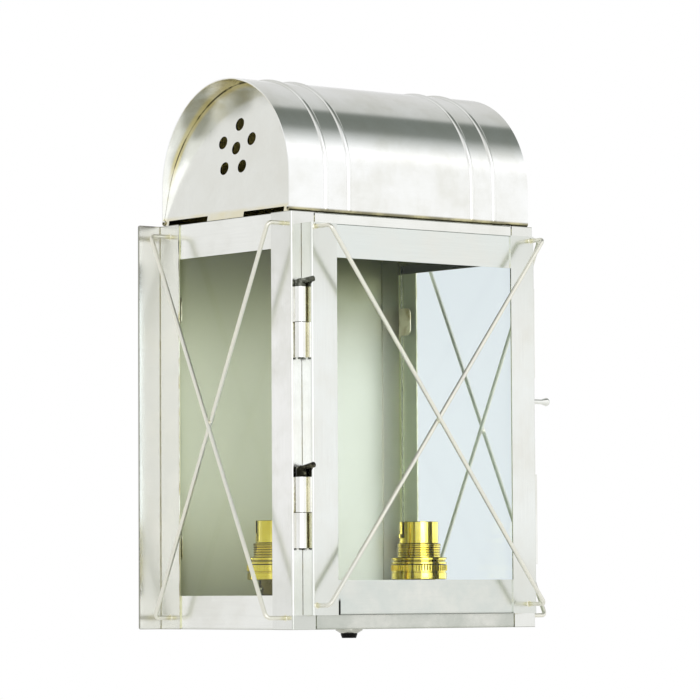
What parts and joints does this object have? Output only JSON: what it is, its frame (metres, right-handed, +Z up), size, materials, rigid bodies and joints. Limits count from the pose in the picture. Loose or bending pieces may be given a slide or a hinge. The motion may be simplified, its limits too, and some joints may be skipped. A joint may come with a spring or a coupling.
{
  "type": "wall lantern",
  "caption": "Glazed sheet metal wall lantern with a barrel roof, a hinged front door, crossed wire guards over its panes and bayonet lampholders inside",
  "frame": {"origin": "The middle of the wall plate's rear face, where the lantern meets the wall.", "axes": "+Z is up, +Y points into the wall, so the door faces -Y, and +X is the right-hand side as one looks at the door."},
  "size_m": [0.2334, 0.1657, 0.3574],
  "materials": {
    "plate": "dull plated sheet",
    "frame_sheet": "tinned sheet with solder tarnish at the edges",
    "door_sheet": "tinned sheet with solder tarnish at the edges",
    "floor_sheet": "plain sheet",
    "roof_sheet": "brushed sheet, curved",
    "gable_sheet": "brushed sheet",
    "glass": "clear with a faint green edge",
    "guard_wire": "plated wire, tarnished at the solder",
    "hinge_metal": "plated, a little worn",
    "pin_steel": "dark steel",
    "spring_strip": "plated spring strip",
    "lamp_brass": "aged brass",
    "insulation": "pale moulded insulation",
    "gland_metal": "grey metal",
    "gland_plastic": "black moulding",
    "lead_sleeve": "brown and green sleeving"
  },
  "bodies": {
    "lantern_body": {"backplate": "plate", "post_front_left": "frame_sheet", "post_front_right": "frame_sheet", "post_rear_left": "frame_sheet", "post_rear_right": "frame_sheet", "rail_top_left": "frame_sheet", "rail_top_right": "frame_sheet", "rail_bottom_left": "frame_sheet", "rail_bottom_right": "frame_sheet", "header": "frame_sheet", "sill": "frame_sheet", "floor_plate": "floor_sheet", "roof": "roof_sheet", "gable_left": "gable_sheet", "gable_right": "gable_sheet", "pane_left": "glass", "pane_right": "glass", "pane_clips": "floor_sheet", "guard_left": "guard_wire", "guard_right": "guard_wire", "hinge_body_halves": "hinge_metal", "latch_keeper": "frame_sheet", "lamp_bracket": "floor_sheet", "bracket_rivets": "floor_sheet", "nipple_left": "lamp_brass", "nipple_right": "lamp_brass", "nipple_nuts": "lamp_brass", "lamp_cap_left": "lamp_brass", "lamp_cap_right": "lamp_brass", "insulator_left": "insulation", "insulator_right": "insulation", "barrel_left": "lamp_brass", "barrel_right": "lamp_brass", "shade_rings_left": "lamp_brass", "shade_rings_right": "lamp_brass", "gland_flange": "gland_metal", "gland_body": "gland_plastic", "gland_nut": "gland_plastic", "terminal_block": "insulation", "earth_stud": "lamp_brass", "leads": "lead_sleeve"},
    "door": {"door_stile_left": "door_sheet", "door_stile_right": "door_sheet", "door_rail_top": "door_sheet", "door_rail_bottom": "door_sheet", "door_pane": "glass", "door_clips": "floor_sheet", "door_guard": "guard_wire", "hinge_door_halves": "hinge_metal", "edge_strips": "door_sheet", "latch_rivets": "floor_sheet", "latch_spring_foot": "spring_strip"},
    "latch": {"latch_spring": "spring_strip", "latch_knob": "spring_strip"},
    "pin_upper": {"hinge_pin_upper": "pin_steel"},
    "pin_lower": {"hinge_pin_lower": "pin_steel"},
    "contact_left_a": {"plunger_left_a": "lamp_brass"},
    "contact_left_b": {"plunger_left_b": "lamp_brass"},
    "contact_right_a": {"plunger_right_a": "lamp_brass"},
    "contact_right_b": {"plunger_right_b": "lamp_brass"}
  },
  "joints": [
    {"name": "door_hinge", "type": "hinge", "parent": "lantern_body", "child": "door", "pos_m": [-0.0959, -0.1429, 0.0014], "axis": [0, 0, -1], "range_deg": [0, 110]},
    {"name": "upper_pin_pull", "type": "slide", "parent": "door", "child": "pin_upper", "axis": [0, 0, 1], "range_m": [0, 0.05]},
    {"name": "lower_pin_pull", "type": "slide", "parent": "door", "child": "pin_lower", "axis": [0, 0, 1], "range_m": [0, 0.05]},
    {"name": "latch_pull", "type": "hinge", "parent": "door", "child": "latch", "pos_m": [0.0924, -0.1439, -0.0315], "axis": [0, 1, 0], "range_deg": [0, 5], "stiffness_Nm_per_rad": 0.25, "springref_deg": -2.86},
    {"name": "contact_left_a_press", "type": "slide", "parent": "lantern_body", "child": "contact_left_a", "axis": [0, 0, -1], "range_m": [0, 0.003], "stiffness_N_per_m": 600, "springref_m": -0.003},
    {"name": "contact_left_b_press", "type": "slide", "parent": "lantern_body", "child": "contact_left_b", "axis": [0, 0, -1], "range_m": [0, 0.003], "stiffness_N_per_m": 600, "springref_m": -0.003},
    {"name": "contact_right_a_press", "type": "slide", "parent": "lantern_body", "child": "contact_right_a", "axis": [0, 0, -1], "range_m": [0, 0.003], "stiffness_N_per_m": 600, "springref_m": -0.003},
    {"name": "contact_right_b_press", "type": "slide", "parent": "lantern_body", "child": "contact_right_b", "axis": [0, 0, -1], "range_m": [0, 0.003], "stiffness_N_per_m": 600, "springref_m": -0.003}
  ]
}
